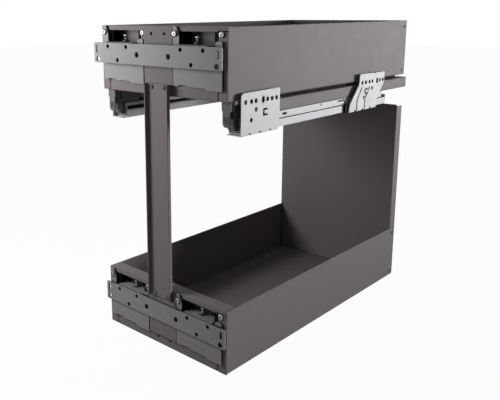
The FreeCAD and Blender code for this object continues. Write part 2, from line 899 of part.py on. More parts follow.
def drawer_rail():
    """The rail that carries the upper tray: a channel open to the bottom, with lips."""
    low, inner_top = drawer_levels()
    inner = drawer_half - drawer_wall
    outline = [(inner, inner_top), (inner, low + fixed_wall), (inner - lip, low + fixed_wall),
               (inner - lip, low), (drawer_half, low), (drawer_half, carrier_low)]
    rail = slide_section(outline, slide_front, slide_length)
    slots = [box(slide_x + inner - 1, slide_x + drawer_half + 1, y0, y1, slide_low + z0, slide_low + z1)
             for y0, y1, z0, z1 in drawer_slots]
    return rail.cut(slots)


def catch_bars():
    """The plastic bars beside the drawer rails that reach back to the soft-closing units."""
    side = slide_x - drawer_half
    low, high = catch_bar_rise
    return both_sides(box(side - catch_bar, side, *catch_bar_y, slide_low + low, slide_low + high))


def carrier():
    """The painted channel between a drawer rail and the upper tray."""
    inner = carrier_x - carrier_width
    return folded_section(
        [(inner, carrier_low), (carrier_x, carrier_low), (carrier_x, carrier_top), (inner, carrier_top)],
        carrier_sheet, carrier_front, rear_reach, carrier_bend)


def carrier_spacer():
    outer = carrier_x - spacer_inset
    return box(outer - spacer_width, outer, carrier_front + spacer_margin, tray_depth - spacer_rear_gap,
               carrier_top, upper_base)


def coupler():
    """The housing that locks the upper tray to the front of a drawer rail."""
    body = box(coupler_inner, coupler_outer, coupler_body_front, carrier_front,
               carrier_low + coupler_gap, upper_base)
    cheeks = [box(x, x + coupler_cheek, coupler_front, coupler_body_front,
                  upper_base - coupler_cheek_drop, upper_base)
              for x in (coupler_inner, coupler_outer - coupler_cheek)]
    slope_y, slope_z = coupler_nose_slope
    nose_low, nose_top = slide_low + coupler_nose_rise, upper_base - coupler_nose_drop
    nose_rear = slide_front - coupler_gap
    inset_inner, inset_outer = coupler_nose_inset
    nose = plate_yz(
        [(coupler_nose_front, nose_top), (coupler_nose_front, nose_low + slope_z),
         (coupler_nose_front + slope_y, nose_low), (nose_rear, nose_low), (nose_rear, nose_top)],
        coupler_inner + inset_inner, coupler_outer - inset_outer)
    low_drop, high_drop = coupler_window_drop
    window = box(coupler_inner - 1, coupler_outer + 1, *coupler_window_y,
                 upper_base - low_drop, upper_base - high_drop)
    pin_hole = cylinder(V(coupler_inner - 1, lever_axis_y, lever_axis_z), V(1, 0, 0), lever_pin_radius,
                        coupler_outer - coupler_inner + 2)
    return fused([body, nose] + cheeks).cut([window, pin_hole])


def coupler_pins():
    return both_sides(cylinder(V(coupler_inner, lever_axis_y, lever_axis_z), V(1, 0, 0),
                               lever_pin_radius, coupler_outer - coupler_inner))


def release_lever():
    """The trigger under the tray's front edge that frees the tray from the slide."""
    x0, x1 = coupler_inner + coupler_cheek + lever_play, coupler_outer - coupler_cheek - lever_play
    low, high = upper_base - lever_drop, upper_base - lever_top_drop
    plate = plate_xz([(x0, low), (x1, low), (x1, high), (x0, high)],
                     coupler_front, coupler_front + lever_sheet,
                     [lever_radius, lever_radius, lever_top_radius, lever_top_radius])
    barrel = cylinder(V(x0, lever_axis_y, lever_axis_z), V(1, 0, 0), lever_barrel_radius, x1 - x0)
    first_rib = (x0 + x1 - lever_rib_pitch * (lever_ribs - 1) - lever_rib_width) / 2
    rib_xs = [first_rib + i * lever_rib_pitch for i in range(lever_ribs)]
    low_drop, high_drop = lever_rib_drop
    ribs = [box(x, x + lever_rib_width, coupler_front - lever_rib_rise, coupler_front + lever_rib_rise,
                upper_base - low_drop, upper_base - high_drop) for x in rib_xs]
    bore = cylinder(V(x0 - 1, lever_axis_y, lever_axis_z), V(1, 0, 0),
                    lever_pin_radius + lever_pin_play, x1 - x0 + 2)
    return fused([plate, barrel] + ribs).cut(bore)


def bracket_cuts(slot_y, steps):
    """The row of holes and the slot of one bracket, as cutters."""
    x0, x1 = bracket_half_span - bracket_sheet - 1, bracket_half_span + 1
    cuts = [slot_cutter_x(slot_y, row_z, bracket_slot_width, bracket_slot_length, x0, x1)]
    for step in steps:
        cuts.append(cylinder(V(x0, slot_y + step, row_z), V(1, 0, 0), bracket_hole_radius, x1 - x0))
    return cuts


def bracket_tab(y, z):
    """Three slits round a punched tab that is still joined to the bracket at its rear."""
    x0, x1 = bracket_half_span - bracket_sheet - 1, bracket_half_span + 1
    return [box(x0, x1, y, y + tab_size, z, z + tab_slit),
            box(x0, x1, y, y + tab_size, z + tab_size - tab_slit, z + tab_size),
            box(x0, x1, y, y + tab_side_slit, z, z + tab_size)]


def bracket_foot(y0, y1):
    """The fold under a bracket that carries the cabinet rail."""
    return box(bracket_half_span - bracket_flange, bracket_half_span, y0, y1, bracket_low, slide_low)


def foot_notches(y0, y1):
    """Round cutters that make the fold's outer edge wavy."""
    return [cylinder(V(bracket_half_span, y0 + (y1 - y0) * share, bracket_low - 1), V(0, 0, 1),
                     foot_notch_radius, bracket_sheet + foot_notch_rise + 1)
            for share in foot_notch_shares]


def small_holes(slot_y, places):
    return [cylinder(V(bracket_half_span - bracket_sheet - 1, slot_y + step, row_z - drop),
                     V(1, 0, 0), bracket_small_radius, bracket_sheet + 2) for step, drop in places]


def front_bracket():
    y0 = bracket_front_start
    y1 = y0 + bracket_front_length
    top = slide_low + bracket_top
    plate = plate_yz(
        [(y0, bracket_low), (y1 - bracket_foot_inset, bracket_low), (y1, bracket_low + bracket_foot_rise),
         (y1, top), (y0, top - bracket_slant)], bracket_half_span - bracket_sheet, bracket_half_span,
        [0, 1.0, 4.0, 3.0, bracket_front_radius])
    cuts = bracket_cuts(bracket_slot_y, bracket_steps + (bracket_front_extra,))
    cuts += bracket_tab(bracket_slot_y + front_tab[0], row_z - front_tab[1])
    cuts += small_holes(bracket_slot_y, front_small_holes)
    foot_end = y1 - bracket_foot_inset
    cuts += foot_notches(y0, foot_end)
    return fused([plate, bracket_foot(y0, foot_end)]).cut(cuts + bracket_rivet_holes())


def rear_bracket():
    top = slide_low + bracket_top
    waist = slide_low + rear_waist_rise
    slot_y = bracket_slot_y + bracket_pitch
    foot_start = rear_neck_start - rear_slant
    plate = plate_yz(
        [(foot_start, bracket_low), (rear_neck_end, bracket_low), (rear_neck_end, waist),
         (rear_top_end - rear_slant, slide_low + rear_back_shoulder),
         (rear_top_end, top), (rear_top_start, top + bracket_slant),
         (rear_top_start - rear_slant, slide_low + rear_front_shoulder), (rear_neck_start, waist)],
        bracket_half_span - bracket_sheet, bracket_half_span, rear_radii)
    cuts = bracket_cuts(slot_y, bracket_steps + (bracket_rear_extra,))
    cuts += bracket_tab(slot_y + rear_tab[0], row_z - rear_tab[1])
    cuts += small_holes(slot_y, rear_small_holes)
    foot = bracket_foot(foot_start, rear_neck_end)
    ribs = []
    for share in rib_shares:
        y = rear_neck_start + (rear_neck_end - rear_neck_start) * share
        ribs += bent_rod(bracket_half_span - bracket_sheet, y)
        cuts += bent_rod(bracket_half_span + rib_radius - rib_depth, y)
    cuts += foot_notches(foot_start, rear_neck_end)
    return fused([plate, foot] + ribs).cut(cuts + bracket_rivet_holes())


def bent_rod(x, y):
    """A round rod along the rear bracket's neck, which shapes one of its pressed ribs."""
    start = V(x, y, slide_low)
    bend = start + V(0, 0, rib_upright)
    return [cylinder(start, V(0, 0, 1), rib_radius, rib_upright), Part.makeSphere(rib_radius, bend),
            cylinder(bend, V(0, rib_lean, 1), rib_radius, rib_slanted)]


def bracket_rivet_ys():
    front = bracket_front_start + bracket_front_length / 2
    rear = (rear_neck_start + rear_neck_end) / 2
    return [middle + side * rivet_half_spacing for middle in (front, rear) for side in (-1, 1)]


def bracket_rivet_holes():
    return [cylinder(V(slide_x, y, bracket_low - 1), V(0, 0, 1), rivet_radius + hole_play,
                     bracket_sheet + fixed_wall + 1.5) for y in bracket_rivet_ys()]


def bracket_rivets():
    rivets = []
    for y in bracket_rivet_ys():
        start = V(slide_x, y, bracket_low)
        head = cylinder(start, V(0, 0, -1), rivet_head_radius, rivet_head)
        rim = [edge for edge in head.Edges if edge.BoundBox.Center.z < bracket_low - rivet_head * 0.8]
        head = head.makeFillet(rivet_head * 0.6, rim[:1])
        shank = cylinder(start, V(0, 0, 1), rivet_radius, bracket_sheet + fixed_wall)
        rivets.append(fused([head, shank]))
    return both_sides(group(rivets))


def soft_close_housing():
    """The plastic housing beside the rear of a cabinet rail, with the clip that grips the rail."""
    x1 = slide_x - fixed_half
    x0 = x1 - closer_width
    y0 = slide_rear - closer_length
    top = slide_low + closer_height
    side = box(x0, x1, y0, slide_rear + rail_end_reach, slide_low, top)
    grip = slide_x + fixed_half
    clip_front = y0 + clip_start
    strap = box(x0, grip + clip_thickness, clip_front, clip_front + clip_strap_width,
                slide_low - clip_strap, slide_low)
    clip = box(grip, grip + clip_thickness, clip_front, clip_front + clip_length,
               slide_low, slide_low + clip_height)
    bore = cylinder(V((x0 + x1) / 2, y0 - 1, slide_low + closer_height / 2), V(0, 1, 0),
                    damper_radius + hole_play, closer_length - closer_wall + 1)
    slot = box(x0 + catch_slot_side, x1 - catch_slot_side, y0 + catch_slot_start,
               y0 + catch_slot_end, top - catch_slot_depth, top + 1)
    return fused([side, strap, clip]).cut([bore, slot])


def soft_close_dampers():
    """The damper cylinder and its rod inside each soft-closing housing."""
    x = slide_x - fixed_half - closer_width / 2
    z = slide_low + closer_height / 2
    y = slide_rear - closer_length + damper_inset
    body = cylinder(V(x, y + damper_rod, z), V(0, 1, 0), damper_radius, damper_length)
    rod = cylinder(V(x, y, z), V(0, 1, 0), damper_rod_radius, damper_rod)
    return both_sides(fused([body, rod]))


def save(name, shape):
    """Writes one sub-part, moved so that y is 0 in the middle of the whole object."""
    placed = shape.copy()
    placed.translate(V(0, -middle_y, 0))
    if not placed.isValid():
        print("not valid:", name)
    placed.exportStep(os.path.join("parts", name + ".step"))


def save_pair(name, shape):
    """Writes a right-hand sub-part and its mirrored left-hand one."""
    save(name + "_right", shape)
    save(name + "_left", mirrored(shape))


def make_slides():
    save_pair("fixed_rail", fixed_rail())
    save_pair("middle_rail", middle_rail())
    save_pair("drawer_rail", drawer_rail())
    save_pair("lower_cage", lower_cage())
    save_pair("upper_cage", upper_cage())
    save_pair("lower_balls", balls(ball_centre_low(), ball_height_low()))
    save_pair("upper_balls", balls(ball_centre_high(), ball_height_high()))
    save_pair("front_bracket", front_bracket())
    save_pair("rear_bracket", rear_bracket())
    save("bracket_rivets", bracket_rivets())
    save_pair("soft_close_housing", soft_close_housing())
    save("soft_close_dampers", soft_close_dampers())


def make_basket():
    for tier, base, upper in (("upper", upper_base, True), ("lower", 0, False)):
        save(tier + "_tray", tray(base))
        save(tier + "_front_panel", front_panel(base, upper))
        save(tier + "_column_plate", column_plate(base, upper))
        save(tier + "_guide_blocks", guide_blocks(base))
        save(tier + "_fixing_plate_right", fixing_plate(fixing_right_x, base))
        save(tier + "_fixing_plate_left", fixing_plate(fixing_left_x, base))
        save(tier + "_clamp_screws", clamp_screws(base))
    save("column", column())
    save("column_screws", column_screws())
    save("back_panel", back_panel())
    save("back_panel_screws", back_panel_screws())
    save("tray_rivets", tray_rivets())
    save_pair("carrier", carrier())
    save("carrier_spacers", both_sides(carrier_spacer()))
    save("catch_bars", catch_bars())
    save_pair("coupler", coupler())
    save("coupler_pins", coupler_pins())
    save_pair("release_lever", release_lever())


def make_facade_mounts():
    for tier, front, base in (("upper", upper_rail_front, upper_base), ("lower", lower_rail_front, 0)):
        save(tier + "_facade_rail", facade_rail(front, base))
        save(tier + "_carriages", carriages(front, base))
        save(tier + "_depth_sliders", depth_sliders(front, base))
        save(tier + "_height_screw_right", height_screw(1, front, base))
        save(tier + "_height_screw_left", height_screw(-1, front, base))


os.makedirs("parts", exist_ok=True)
make_slides()
make_basket()
make_facade_mounts()
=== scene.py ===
import json
import math
import random

import bmesh
import bpy
from mathutils import Matrix, Vector


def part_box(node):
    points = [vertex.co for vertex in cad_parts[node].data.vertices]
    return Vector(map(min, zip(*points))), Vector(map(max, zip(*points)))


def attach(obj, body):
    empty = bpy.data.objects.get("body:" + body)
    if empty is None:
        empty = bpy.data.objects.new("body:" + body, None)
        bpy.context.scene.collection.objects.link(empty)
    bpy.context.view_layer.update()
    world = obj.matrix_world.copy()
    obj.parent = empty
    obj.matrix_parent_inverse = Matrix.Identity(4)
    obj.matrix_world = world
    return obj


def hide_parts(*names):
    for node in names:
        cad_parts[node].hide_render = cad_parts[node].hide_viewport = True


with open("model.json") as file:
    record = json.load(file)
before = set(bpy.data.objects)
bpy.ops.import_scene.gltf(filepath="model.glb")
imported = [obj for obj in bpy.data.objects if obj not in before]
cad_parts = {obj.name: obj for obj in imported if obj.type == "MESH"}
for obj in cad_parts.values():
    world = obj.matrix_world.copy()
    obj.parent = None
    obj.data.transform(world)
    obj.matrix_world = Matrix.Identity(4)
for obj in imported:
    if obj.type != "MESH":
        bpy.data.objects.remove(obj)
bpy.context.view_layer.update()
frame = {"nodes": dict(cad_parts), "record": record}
scene = bpy.context.scene
scene.view_settings.view_transform = "Standard"

MM = 0.001

# Camera: angles of the view in degrees, lengths in metres, the lens in pixels of the photograph's frame
FRAME_WIDTH = 500
SENSOR_MM = 36.0
VIEW_AZIMUTH = 44.135
VIEW_ELEVATION = 12.149
VIEW_ROLL = -0.527
VIEW_DISTANCE = 1.2096
VIEW_TARGET = Vector((-0.1586, -0.038, 0.2541))
FOCAL_PIXELS = 647.3
LENS_SHIFT = (0.133, -0.1)
NEAREST_SEEN = 0.05

# Lamps: name, position, the point that it faces, width and height, watts, spread in degrees
LAMPS = (
    ("key", (2.9, 4.3, 0.5), (0.1, -0.55, 0.58), (0.9, 0.9), 9.0, 27),
    ("front", (-0.4, -0.56, 0.48), (0, 0, 0.25), (0.25, 0.25), 3.2, 180),
    ("top", (0.0, 0.1, 2.0), (0, 0, 0.3), (0.8, 0.8), 5, 180),
    ("left", (-1.8, 0.3, 0.6), (0, 0, 0.25), (0.9, 0.8), 2.5, 180),
)

# World and floor
AMBIENT_COLOUR = (0.97, 0.98, 1.0, 1.0)
AMBIENT_STRENGTH = 0.08
WHITE = (1.0, 1.0, 1.0, 1.0)
FLOOR_REACH = 8.0
FLOOR_DROP = 0.4 * MM
FLOOR_GREY = (0.5, 0.5, 0.5, 1.0)
FLOOR_WHITE_SHARE = 0.97

# Height screws, as the solids have them
SCREW_PITCH = 0.7 * MM
SCREW_RADIUS = 2.0 * MM
SCREW_ROOT = 1.6 * MM
COLLAR_RADIUS = 4.6 * MM
COLLAR_HEIGHT = 1.3 * MM
COLLAR_STEP = 4.9 * MM
COLLAR_ROUNDING = 0.25 * MM
HEAD_RADIUS = 3.2 * MM
HEAD_HEIGHT = 2.6 * MM
HEIGHT_RECESS = (2.0 * MM, 0.95 * MM, 1.5 * MM)
HEIGHT_SCREW_SIDES = 40

# Outlines of screw heads: share of the height, share of the radius
PAN_HEAD = ((0.0, 0.86), (0.06, 0.97), (0.3, 1.0), (0.62, 0.99), (0.8, 0.93), (0.92, 0.8), (1.0, 0.6))
MUSHROOM_HEAD = ((0.0, 0.9), (0.12, 1.0), (0.4, 0.98), (0.7, 0.86), (0.9, 0.66), (1.0, 0.45))

# Screws that get a recess and a thread: node, axis they lie along, head height, shank radius, outline
RECESSED_SCREWS = (
    ("upper_clamp_screws", 1, 2.6 * MM, 2.0 * MM, PAN_HEAD),
    ("lower_clamp_screws", 1, 2.6 * MM, 2.0 * MM, PAN_HEAD),
    ("column_screws", 1, 1.7 * MM, 1.6 * MM, MUSHROOM_HEAD),
    ("back_panel_screws", 2, 2.2 * MM, 2.0 * MM, MUSHROOM_HEAD),
)
TIP_LENGTH = 0.6 * MM
# Shares of the shank's radius
TIP_SHARE = 0.6
ROOT_SHARE = 0.82
PITCH_SHARE = 0.35
# Reach and width as shares of the head's radius, depth as a share of its height
RECESS_SHARES = (0.58, 0.3, 0.6)
SMALL_SCREW_SIDES = 32

RINGS_PER_TURN = 6
CUTTER_OVERSHOOT = 0.4 * MM
RECESS_TAPER = 0.62
LARGEST_TURN = 1.5
SAME_POINT = 0.01 * MM


def make_camera():
    azimuth, elevation, roll = (math.radians(v) for v in (VIEW_AZIMUTH, VIEW_ELEVATION, VIEW_ROLL))
    back = Vector((math.sin(azimuth) * math.cos(elevation), -math.cos(azimuth) * math.cos(elevation),
                   math.sin(elevation)))
    right = Vector((0, 0, 1)).cross(back).normalized()
    up = back.cross(right)
    turned_right = right * math.cos(roll) + up * math.sin(roll)
    turned_up = up * math.cos(roll) - right * math.sin(roll)
    data = bpy.data.cameras.new("camera")
    data.sensor_width = SENSOR_MM
    data.lens = FOCAL_PIXELS * SENSOR_MM / FRAME_WIDTH
    data.shift_x, data.shift_y = LENS_SHIFT
    data.clip_start = NEAREST_SEEN
    camera = bpy.data.objects.new("camera", data)
    place = Matrix.Identity(4)
    for column, axis in enumerate((turned_right, turned_up, back)):
        for row in range(3):
            place[row][column] = axis[row]
    place.translation = VIEW_TARGET + back * VIEW_DISTANCE
    camera.matrix_world = place
    scene.collection.objects.link(camera)
    scene.camera = camera


def make_lights():
    for name, position, target, size, watts, spread in LAMPS:
        data = bpy.data.lights.new(name, "AREA")
        data.shape = "RECTANGLE"
        data.size, data.size_y = size
        data.energy = watts
        data.spread = math.radians(spread)
        lamp = bpy.data.objects.new(name, data)
        lamp.location = position
        direction = Vector(target) - Vector(position)
        lamp.rotation_euler = direction.to_track_quat("-Z", "Y").to_euler()
        scene.collection.objects.link(lamp)


class Graph:
    """A short way to write a material's nodes."""

    def __init__(self, name):
        self.material = bpy.data.materials.new(name)
        self.material.use_nodes = True
        self.tree = self.material.node_tree
        self.shader = self.tree.nodes["Principled BSDF"]

    def node(self, kind, inputs=None, **settings):
        made = self.tree.nodes.new(kind)
        for key, value in settings.items():
            setattr(made, key, value)
        for key, value in (inputs or {}).items():
            self.feed(made, key, value)
        return made

    def feed(self, target, key, value):
        if isinstance(value, bpy.types.NodeSocket):
            self.tree.links.new(value, target.inputs[key])
        else:
            target.inputs[key].default_value = value

    def points(self, stretch=(1.0, 1.0, 1.0)):
        """Object coordinates, in metres, multiplied by stretch."""
        place = self.node("ShaderNodeTexCoord").outputs["Object"]
        return self.node("ShaderNodeMapping", {"Vector": place, "Scale": stretch}).outputs[0]

    def noise(self, scale, detail=2.0, stretch=(1.0, 1.0, 1.0), rough=0.5):
        return self.node("ShaderNodeTexNoise", {"Vector": self.points(stretch), "Scale": scale,
                                                "Detail": detail, "Roughness": rough}).outputs[0]

    def cells(self, scale, stretch=(1.0, 1.0, 1.0)):
        """Small cells, each with its own level from 0 to 1."""
        pattern = self.node("ShaderNodeTexVoronoi", {"Vector": self.points(stretch), "Scale": scale})
        return self.node("ShaderNodeSeparateColor", {0: pattern.outputs["Color"]}).outputs[0]

    def spread(self, value, low, high, start=0.0, end=1.0):
        """The value from start to end, laid out from low to high."""
        return self.node("ShaderNodeMapRange", {0: value, 1: start, 2: end, 3: low, 4: high}).outputs[0]

    def maths(self, operation, first, second):
        return self.node("ShaderNodeMath", {0: first, 1: second}, operation=operation).outputs[0]

    def blend(self, share, first, second):
        """A colour between two, by share."""
        mixed = self.node("ShaderNodeMix", data_type="RGBA")
        self.feed(mixed, 0, share)
        self.feed(mixed, 6, first)
        self.feed(mixed, 7, second)
        return mixed.outputs[2]

    def rounded(self, radius):
        """Normals that turn smoothly round each edge."""
        return self.node("ShaderNodeBevel", {"Radius": radius}, samples=4).outputs[0]

    def edges(self, rounded):
        """1 along edges and 0 on flat faces."""
        flat = self.node("ShaderNodeNewGeometry").outputs["Normal"]
        alike = self.node("ShaderNodeVectorMath", {0: rounded, 1: flat}, operation="DOT_PRODUCT")
        return self.spread(alike.outputs["Value"], 1.0, 0.0, start=0.72, end=0.99)

    def worn_and_highlit(self, body, rounded, share, bare_and_highlit):
        """The colour, with a share of another one along the edges: partly wear, partly a painted edge
        highlight.
        """
        return self.blend(self.maths("MULTIPLY", self.edges(rounded), share), body, bare_and_highlit)

    def painted_hollow_shade(self, tint, dark, reach=0.004, closed=0.3, clear=0.8):
        """The colour with painted shade inside holes, slots, seams and inner corners, from ambient
        occlusion.
        """
        open_share = self.node("ShaderNodeAmbientOcclusion", {"Distance": reach}, samples=8).outputs["AO"]
        return self.blend(self.spread(open_share, 0.0, 1.0, closed, clear), dark, tint)

    def bump(self, height, strength, distance, normal):
        return self.node("ShaderNodeBump", {"Height": height, "Strength": strength, "Distance": distance,
                                            "Normal": normal}).outputs[0]

    def finish(self, **values):
        for key, value in values.items():
            self.feed(self.shader, key.replace("_", " "), value)
        return self.material


def shade(colour, factor):
    return tuple(c * factor for c in colour[:3]) + (1.0,)


def srgb(red, green, blue):
    """A display colour, from 0 to 255, made linear."""
    values = []
    for part in (red, green, blue):
        part /= 255
        values.append(part / 12.92 if part <= 0.04045 else ((part + 0.055) / 1.055) ** 2.4)
    return tuple(values) + (1.0,)


def powder_coat(name, colour, sparkle, roughness):
    """Satin powder coat with metal flakes: fine orange peel, tiny sparks, thinner on the edges with a
    painted edge highlight, and painted shade in hollows.
    """
    g = Graph(name)
    flake = g.spread(g.cells(scale=1900.0), -sparkle, sparkle)
    cloud = g.spread(g.noise(scale=9.0, detail=3.0), -0.015, 0.015, start=0.3, end=0.7)
    level = g.maths("ADD", g.maths("ADD", flake, cloud), 0.5)
    body = g.blend(level, shade(colour, 0.72), shade(colour, 1.28))
    rounded = g.rounded(radius=0.002)
    # Edges lightened: partly wear of the thin coat, partly a painted highlight along the rims.
    tint = g.worn_and_highlit(body, rounded, share=0.12, bare_and_highlit=shade(colour, 2.1))
    peel = g.noise(scale=1300.0, detail=2.0)
    rough = g.spread(g.noise(scale=60.0, detail=3.0), roughness - 0.02, roughness + 0.02, start=0.3, end=0.7)
    # Painted shade: the colour is darkened by ambient occlusion in holes, seams and inner corners.
    return g.finish(Base_Color=g.painted_hollow_shade(tint, shade(colour, 0.3)), Roughness=rough, Specular_IOR_Level=0.1,
                    Normal=g.bump(peel, 0.22, 0.12 * MM, rounded))


def dull_grey_coat(name, colour, roughness):
    """Matt grey coat of the rails and side plates, with faint scuffs along the sheet, lighter edges that are
    partly wear and partly a painted highlight, and painted shade in holes and slots.
    """
    g = Graph(name)
    scuff = g.noise(scale=140.0, detail=4.0, stretch=(0.4, 1.0, 1.0), rough=0.6)
    body = g.blend(g.spread(scuff, 0.0, 1.0, start=0.35, end=0.68), shade(colour, 0.94), shade(colour, 1.06))
    rounded = g.rounded(radius=0.0007)
    # Edges lightened: partly wear, partly a painted highlight.
    tint = g.worn_and_highlit(body, rounded, share=0.2, bare_and_highlit=shade(colour, 1.9))
    rough = g.spread(scuff, roughness - 0.06, roughness + 0.06, start=0.35, end=0.68)
    # Painted shade: nearly black in holes, slots and gaps, by ambient occlusion.
    hollow_shaded_tint = g.painted_hollow_shade(tint, shade(colour, 0.05), reach=0.007, closed=0.5, clear=0.9)
    return g.finish(Base_Color=hollow_shaded_tint, Roughness=rough, Specular_IOR_Level=0.15,
                    Normal=g.bump(g.noise(scale=900.0, detail=2.0), 0.15, 0.1 * MM, rounded))


def galvanised(name, colour, roughness, metallic):
    """Zinc-coated sheet: soft crystal patches and fine rolling lines along the slide, lighter edges that are
    partly wear and partly a painted highlight, and painted shade in holes and creases.
    """
    g = Graph(name)
    patch = g.cells(scale=210.0, stretch=(1.0, 0.7, 1.0))
    lines = g.noise(scale=700.0, detail=2.0, stretch=(1.0, 0.02, 1.0))
    level = g.maths("ADD", g.maths("MULTIPLY", patch, 0.6), g.maths("MULTIPLY", lines, 0.4))
    body = g.blend(level, shade(colour, 0.86), shade(colour, 1.06))
    rounded = g.rounded(radius=0.0006)
    # Edges lightened: partly wear, partly a painted highlight.
    tint = g.worn_and_highlit(body, rounded, share=0.3, bare_and_highlit=shade(colour, 1.15))
    rough = g.spread(level, roughness - 0.08, roughness + 0.08)
    # Painted shade: darker in holes and creases, by ambient occlusion.
    hollow_shaded_tint = g.painted_hollow_shade(tint, shade(colour, 0.12), reach=0.003, closed=0.2, clear=0.55)
    return g.finish(Base_Color=hollow_shaded_tint, Metallic=metallic, Roughness=rough, Specular_IOR_Level=0.1,
                    Normal=g.bump(level, 0.12, 0.08 * MM, rounded))


def bright_zinc(name, colour, roughness):
    """Bright plating of the screws, with small stains and painted shade in the recesses."""
    g = Graph(name)
    stain = g.noise(scale=420.0, detail=3.0)
    body = g.blend(g.spread(stain, 0.0, 1.0, start=0.4, end=0.65), shade(colour, 0.8), shade(colour, 1.05))
    rough = g.spread(stain, roughness, roughness + 0.14, start=0.4, end=0.65)
    grain = g.noise(scale=1500.0, detail=2.0)
    # Painted shade: darker in the recesses, by ambient occlusion.
    hollow_shaded_tint = g.painted_hollow_shade(body, shade(colour, 0.06), reach=0.002)
    return g.finish(Base_Color=hollow_shaded_tint, Metallic=1.0, Roughness=rough,
                    Normal=g.bump(grain, 0.08, 0.05 * MM, g.rounded(radius=0.0003)))


def moulded(name, colour, roughness, grain, specular):
    """Moulded plastic with a fine spark-eroded grain and lighter edges, partly wear and partly a painted
    highlight.
    """
    g = Graph(name)
    cloud = g.noise(scale=45.0, detail=3.0)
    body = g.blend(g.spread(cloud, 0.0, 1.0, start=0.35, end=0.65), shade(colour, 0.9), shade(colour, 1.12))
    rounded = g.rounded(radius=0.0005)
    # Edges lightened: partly wear, partly a painted highlight.
    tint = g.worn_and_highlit(body, rounded, share=0.3, bare_and_highlit=shade(colour, 1.8))
    rough = g.spread(cloud, roughness - 0.04, roughness + 0.04, start=0.35, end=0.65)
    return g.finish(Base_Color=tint, Roughness=rough, Specular_IOR_Level=specular,
                    Normal=g.bump(g.noise(scale=grain, detail=2.0), 0.25, 0.1 * MM, rounded))


def make_materials():
    return {
        "tray_paint": powder_coat("tray_paint", srgb(120, 113, 114), 0.22, 0.6),
        "rail_grey": dull_grey_coat("rail_grey", srgb(136, 135, 135), 0.5),
        "galvanised": galvanised("galvanised", srgb(186, 187, 189), 0.6, 0.15),
        "screw_zinc": bright_zinc("screw_zinc", srgb(140, 140, 141), 0.3),
        "ball_steel": bright_zinc("ball_steel", srgb(215, 215, 217), 0.08),
        # Near black, matt and low in specular, so that the spacers and guide blocks in it read as the deep
        # shade of the gaps they fill: partly painted shade.
        "black_plastic": moulded("black_plastic", srgb(14, 14, 15), 0.75, 1100.0, 0.04),
        "dark_plastic": moulded("dark_plastic", srgb(74, 74, 75), 0.5, 1100.0, 0.35),
        "cage_plastic": moulded("cage_plastic", srgb(24, 24, 25), 0.6, 900.0, 0.2),
    }


def dress_nodes(materials):
    """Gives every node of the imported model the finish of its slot."""
    for part in frame["record"]["subparts"]:
        node = frame["nodes"][part["node"]]
        node.data.materials.clear()
        node.data.materials.append(materials[part["material_slot"]])
        for polygon in node.data.polygons:
            polygon.material_index = 0


def white_for_eyes(tree, surface, share, kind):
    """Mixes a share of white into a shader, only for what the camera or a reflection sees of it."""
    path = tree.nodes.new("ShaderNodeLightPath")
    seen = path.outputs["Is Camera Ray"]
    for ray in ("Is Glossy Ray", "Is Transmission Ray"):
        either = tree.nodes.new("ShaderNodeMath")
        either.operation = "MAXIMUM"
        tree.links.new(seen, either.inputs[0])
        tree.links.new(path.outputs[ray], either.inputs[1])
        seen = either.outputs[0]
    scaled = tree.nodes.new("ShaderNodeMath")
    scaled.operation = "MULTIPLY"
    tree.links.new(seen, scaled.inputs[0])
    scaled.inputs[1].default_value = share
    white = tree.nodes.new(kind)
    white.inputs[0].default_value = WHITE
    white.inputs[1].default_value = 1.0
    mixed = tree.nodes.new("ShaderNodeMixShader")
    tree.links.new(scaled.outputs[0], mixed.inputs[0])
    tree.links.new(surface, mixed.inputs[1])
    tree.links.new(white.outputs[0], mixed.inputs[2])
    return mixed.outputs[0]


def make_floor():
    mesh = bpy.data.meshes.new("floor")
    corners = [(x * FLOOR_REACH, y * FLOOR_REACH, 0) for x, y in ((-1, -1), (1, -1), (1, 1), (-1, 1))]
    mesh.from_pydata(corners, [], [(0, 1, 2, 3)])
    floor = bpy.data.objects.new("floor", mesh)
    floor.location.z = -FLOOR_DROP
    scene.collection.objects.link(floor)
    material = bpy.data.materials.new("pale_floor")
    material.use_nodes = True
    tree = material.node_tree
    shader = tree.nodes["Principled BSDF"]
    shader.inputs["Base Color"].default_value = FLOOR_GREY
    shader.inputs["Roughness"].default_value = 0.9
    shader.inputs["Specular IOR Level"].default_value = 0.1
    surface = white_for_eyes(tree, shader.outputs[0], FLOOR_WHITE_SHARE, "ShaderNodeEmission")
    tree.links.new(surface, tree.nodes["Material Output"].inputs[0])
    mesh.materials.append(material)


def make_world():
    world = bpy.data.worlds.new("studio")
    world.use_nodes = True
    tree = world.node_tree
    ambient = tree.nodes["Background"]
    ambient.inputs[0].default_value = AMBIENT_COLOUR
    ambient.inputs[1].default_value = AMBIENT_STRENGTH
    surface = white_for_eyes(tree, ambient.outputs[0], 1.0, "ShaderNodeBackground")
    tree.links.new(surface, tree.nodes["World Output"].inputs[0])
    scene.world = world


def add_piece(name, mesh, material, body):
    piece = bpy.data.objects.new(name, mesh)
    mesh.materials.clear()
    mesh.materials.append(material)
    scene.collection.objects.link(piece)
    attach(piece, body)
    return piece


def mesh_of(made, name):
    """The mesh of a bmesh, which it uses up."""
    mesh = bpy.data.meshes.new(name)
    made.to_mesh(mesh)
    made.free()
    return mesh


